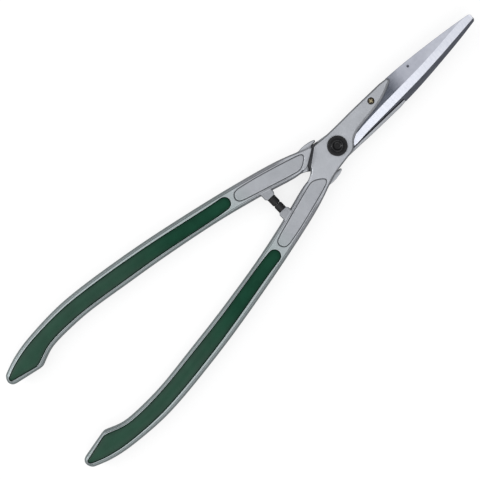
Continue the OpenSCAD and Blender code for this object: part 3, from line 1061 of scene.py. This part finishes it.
def make_blades():
    rings = blade_rings()
    count, size = rings.shape[:2]
    faces = []
    for start in range(0, (count - 1) * size, size):
        for i in range(size):
            a, b = start + i, start + (i + 1) % size
            faces.append([a, a + size, b + size, b])
    faces += [list(range(size)), list(range((count - 1) * size, count * size))[::-1]]
    finishes = RING_FINISHES * (count - 1) + [0, 0]
    low, high = BLADE_BOTTOM - 1, BLADE_TOP + 1
    bore = prism(regular(64, 2 * BUSH_R, BORE_TURN), low, high)
    hole_points, hole_faces = prism(regular(32, 2 * STUD_R), low, high)
    hole = (hole_points + [SCREW_AT[0], SCREW_AT[1], 0], hole_faces)
    for half in ("front", "rear"):
        blade = stand_in(
            f"{half}_blade", "ground", rings.reshape(-1, 3), faces, [FLANK, BEVEL, FLAT], finishes
        )
        for tool in (bore, hole, dimple()):
            carved(blade, *tool)
        if half == "rear":
            turn_over(blade)
        crease(blade, 12)


DIMPLE_AT = (-9.7, 115.7)
DIMPLE_R, DIMPLE_DEPTH = 4.6, 0.27


def dimple():
    """Ball that leaves the round mark of a hardness test in the flank."""
    centre = (*DIMPLE_AT, BLADE_TOP + DIMPLE_R - DIMPLE_DEPTH)
    return spun(arc_points((0, 0), DIMPLE_R, -90, 90, 24), centre=centre, steps=48)


# ---- pivot

HEAD_R = 8.0
SHANK_R = 5.0
WASHER_BORE_R, RING_BORE_R = 5.25, 5.02
CREST_R, CREST_ROUND = 5.85, 1.3
SOCKET_AF, SOCKET_DEPTH, SOCKET_TURN = 5.0, 2.6, 0.4
SPRING_RISE = 0.6


def make_bolt():
    """Round head with a raised rim and a dished middle that holds the hexagon socket."""
    seat = box_mm("pivot_front_washer")[1][2]
    low, high = box_mm("pivot_bolt")
    tip, crest = low[2], high[2]
    dish = crest - 1.5
    wall_top = crest - 2.2
    shank = [(0, tip), (SHANK_R - 0.8, tip), (SHANK_R, tip + 0.8), (SHANK_R, seat)]
    wall = [(HEAD_R - 0.2, seat), (HEAD_R, seat + 0.2), (HEAD_R, wall_top)]
    shoulder = arc_points((HEAD_R - 0.5, wall_top), 0.5, 0, 38, 4)
    rim = arc_points((CREST_R, crest - CREST_ROUND), CREST_ROUND, 38, 142, 16)
    dip = [(CREST_R - 1.75, dish + 0.5), (CREST_R - 2.1, dish + 0.2), (CREST_R - 2.5, dish + 0.05)]
    dip += [(CREST_R - 2.9, dish), (1.0, dish - 0.05), (0, dish - 0.05)]
    bolt = stand_in("pivot_bolt", "turned", *spun(shank + wall + shoulder + rim + dip), [BLACK])
    carved(bolt, *prism(regular(6, SOCKET_AF, SOCKET_TURN), dish - SOCKET_DEPTH, crest + 1))
    crease(bolt, 32)


def make_rings():
    """Washers, the nylon ring in the nut, and the coned spring washer."""
    rings = [
        ("pivot_front_washer", BLACK, WASHER_BORE_R, 0.45),
        ("pivot_back_washer", BLACK, WASHER_BORE_R, 0.45),
        ("pivot_nut_ring", NYLON, RING_BORE_R, 0.25),
    ]
    for node, material, bore_r, edge in rings:
        low, high = box_mm(node)
        section = ring_profile(bore_r, high[0], low[2], high[2], edge)
        crease(stand_in(node, "turned", *spun_ring(section), [material]), 40)
    low, high = box_mm("pivot_spring_washer")
    flat = ring_profile(WASHER_BORE_R, high[0], low[2], high[2] - SPRING_RISE, 0.3)
    slope = SPRING_RISE / (high[0] - WASHER_BORE_R)
    cone = [(r, h + slope * (r - WASHER_BORE_R)) for r, h in flat]
    crease(stand_in("pivot_spring_washer", "coned", *spun_ring(cone), [SPRING]), 40)


def make_nut():
    """Hexagon nut, chamfered at both ends, with a seat for its nylon ring."""
    low, high = box_mm("pivot_nut")
    apothem = min((high - low)[:2]) / 2
    bottom, top = low[2], high[2]
    ring_high = box_mm("pivot_nut_ring")[1]
    ring_r, ring_top = ring_high[0], ring_high[2]
    sixth, steps = math.pi / 3, 96
    first_flat = sixth / 2 if high[0] > high[1] else 0
    worn_corner = apothem / math.cos(sixth / 2) - 0.2
    face_r = apothem - 0.3
    sections = []
    for k in range(steps):
        from_flat = (2 * math.pi * k / steps - first_flat + sixth / 2) % sixth - sixth / 2
        side = min(apothem / math.cos(from_flat), worn_corner)
        chamfer = 0.55 * (side - face_r)
        sections.append([
            (ring_r, bottom), (face_r, bottom), (side, bottom + chamfer), (side, top - chamfer),
            (face_r, top), (SHANK_R, top), (SHANK_R, ring_top), (ring_r, ring_top),
        ])
    crease(stand_in("pivot_nut", "turned", *ring_of(sections), [BLACK]), 25)


# ---- blade screws

# How far the cross recess is turned, in degrees.
RECESS_TURN = 8


def make_screws():
    """Domed head with a worn cross recess, on a plain shank."""
    x, y = SCREW_AT[:2]
    head_top, tip = SCREW_HIGH[2], SCREW_LOW[2]
    profile = [(0, tip), (STUD_R - 0.4, tip), (STUD_R, tip + 0.4), (STUD_R, SCREW_SEAT)]
    profile += [(SCREW_HEAD_R - 0.1, SCREW_SEAT), (SCREW_HEAD_R, SCREW_SEAT + 0.1)]
    profile += [(SCREW_HEAD_R, head_top - 0.9), (SCREW_HEAD_R - 0.35, head_top - 0.45)]
    profile += [(SCREW_HEAD_R - 1.1, head_top - 0.15), (1.2, head_top), (0, head_top)]
    points, faces = spun(profile, centre=(x, y, 0), steps=64)
    for half in ("front", "rear"):
        screw = stand_in(f"{half}_blade_screw", "turned", points, faces, [SCREW_DARK, FLAT, SCREW_WORN])
        for face in screw.data.polygons:
            # The end of the shank takes the flat side's painted dark slate, to look like the blade around
            # it.
            face.material_index = int(face.center.z < (tip + 0.2) * MM)
        for angle in (RECESS_TURN, RECESS_TURN + 90):
            carved(screw, *cross_arm(x, y, head_top, math.radians(angle)))
        if half == "rear":
            turn_over(screw)
        crease(screw, 30)


def cross_arm(x, y, top, angle):
    """Tapered bar that cuts one arm of the cross recess, from its floor to just over the head."""
    corners = []
    for z, length, width in ((top - 1.0, 2.2, 0.6), (top + 0.3, 3.2, 0.85)):
        for u, v in ((-length, -width), (length, -width), (length, width), (-length, width)):
            corners.append((
                x + u * math.cos(angle) - v * math.sin(angle),
                y + u * math.sin(angle) + v * math.cos(angle), z,
            ))
    faces = [[3, 2, 1, 0], [4, 5, 6, 7]] + [[k, (k + 1) % 4, 4 + (k + 1) % 4, 4 + k] for k in range(4)]
    return np.array(corners), faces


# ---- bumpers

BUMPER_RIBS = {"front": 6, "rear": 8}
RIB_DEPTH = 0.3


def bumper_profile(length, ribs):
    """Half section of a bumper along its axis, from the meeting end to the lug, with shallow ribs."""
    steps, neck = 72, 1.1
    profile = [(0, 0.0), (BUMPER_R - 1.6, 0.0), (BUMPER_R - 1.0, 0.12), (BUMPER_R - 0.75, 0.4)]
    for k in range(steps + 1):
        rib = RIB_DEPTH * (math.sin(math.pi * ribs * k / steps) ** 2 - 1)
        ends = min(1.0, 0.55 + 0.45 * min(k, steps - k) / 4)
        profile.append(((BUMPER_R + rib) * (0.97 + 0.03 * ends), neck + (length - neck) * k / steps))
    return profile + [(BUMPER_R - 0.8, length), (0, length)]


def make_bumpers():
    for half, sign in (("front", 1), ("rear", -1)):
        low, high = box_mm(f"{half}_bumper")
        meeting_x = low[0] if sign > 0 else -high[0]
        profile = bumper_profile(high[0] - low[0], BUMPER_RIBS[half])
        points, faces = spun(profile, "x", (meeting_x, BUMPER_Y, 0), 72)
        crease(stand_in(f"{half}_bumper", "ribbed", *turned(points, faces, sign, sign), [RUBBER]), 50)


# ---- hidden CAD nodes that stay as they are

def finish_kept_nodes():
    for half in ("front", "rear"):
        for part, material in (("pivot_bush", BRONZE), ("bumper_stud", STUD)):
            node = f"{half}_{part}"
            obj = frame["nodes"][node]
            obj.data.materials.clear()
            obj.data.materials.append(material)


# ---- stage, light and camera

# The camera looks straight down, turned about the vertical. Lengths are in millimetres, the turn in degrees.
FRAME_WIDTH = 523.2
VIEW_TURN = 46.27
VIEW_AT = (0.85, -147.1)
CAMERA_HEIGHT = 2200.0
SENSOR = 36.0
CLIP_END_M = 20
FLOOR_HALF_M = 4.0


def make_floor():
    """White paper floor to the camera, which throws only a little light back at the object."""
    level = CAD_LOW[2] - 0.0002
    corners = [(u * FLOOR_HALF_M, v * FLOOR_HALF_M, level) for u, v in ((-1, -1), (1, -1), (1, 1), (-1, 1))]
    floor = new_object("floor", corners, [(0, 1, 2, 3)])
    paint = Paint("floor_paper")
    seen = paint.node("ShaderNodeLightPath").outputs["Is Camera Ray"]
    shade = paint.blend(seen, (0.3, 0.3, 0.3, 1), (0.24, 0.24, 0.24, 1))
    paint.set(Base_Color=shade, Roughness=0.9, Specular_IOR_Level=0.0)
    paint.set(Emission_Color=(1, 1, 1, 1), Emission_Strength=paint.maths("MULTIPLY", seen, 0.78))
    floor.data.materials.append(paint.material)


def add_softbox(name, place, aim, side, power):
    """Square area light of a side in metres, hidden from the camera."""
    light = bpy.data.lights.new(name, "AREA")
    light.shape = "RECTANGLE"
    light.size, light.size_y, light.energy = side, side, power
    obj = bpy.data.objects.new(name, light)
    obj.location = place
    obj.rotation_euler = (Vector(aim) - Vector(place)).to_track_quat("-Z", "Y").to_euler()
    obj.visible_camera = False
    bpy.context.scene.collection.objects.link(obj)


def make_light():
    """A dome that is darker below, and three softboxes. Places are in metres, powers in watts."""
    world = bpy.data.worlds.new("studio")
    bpy.context.scene.world = world
    world.use_nodes = True
    nodes, links = world.node_tree.nodes, world.node_tree.links
    where = nodes.new("ShaderNodeTexCoord")
    parts = nodes.new("ShaderNodeSeparateXYZ")
    ramp = nodes.new("ShaderNodeValToRGB")
    links.new(where.outputs["Generated"], parts.inputs[0])
    links.new(parts.outputs["Z"], ramp.inputs[0])
    for stop, place, colour in zip(
        ramp.color_ramp.elements, (0.15, 0.95), ((0.15, 0.15, 0.155, 1), (0.81, 0.81, 0.82, 1))
    ):
        stop.position = place
        stop.color = colour
    links.new(ramp.outputs[0], nodes["Background"].inputs["Color"])
    nodes["Background"].inputs["Strength"].default_value = 1.0
    middle = (0, VIEW_AT[1] * MM, 0)
    add_softbox("key", (-0.74, -0.7, 1.18), middle, 1.7, 8.5)
    add_softbox("fill", (1.05, -0.5, 1.15), middle, 1.5, 9.5)
    add_softbox("low", (-1.2, -1.3, 0.9), (0, 0, 0), 0.45, 10)


def make_camera():
    camera = bpy.data.cameras.new("camera")
    camera.sensor_width = SENSOR
    camera.lens = SENSOR * CAMERA_HEIGHT / FRAME_WIDTH
    camera.clip_end = CLIP_END_M
    obj = bpy.data.objects.new("camera", camera)
    obj.location = (VIEW_AT[0] * MM, VIEW_AT[1] * MM, CAMERA_HEIGHT * MM)
    obj.rotation_euler = (0, 0, math.radians(VIEW_TURN))
    bpy.context.scene.collection.objects.link(obj)
    bpy.context.scene.camera = obj


make_levers()
make_grips()
make_blades()
make_bolt()
make_rings()
make_nut()
make_screws()
make_bumpers()
finish_kept_nodes()
make_floor()
make_light()
make_camera()
bpy.context.scene.view_settings.view_transform = "Standard"
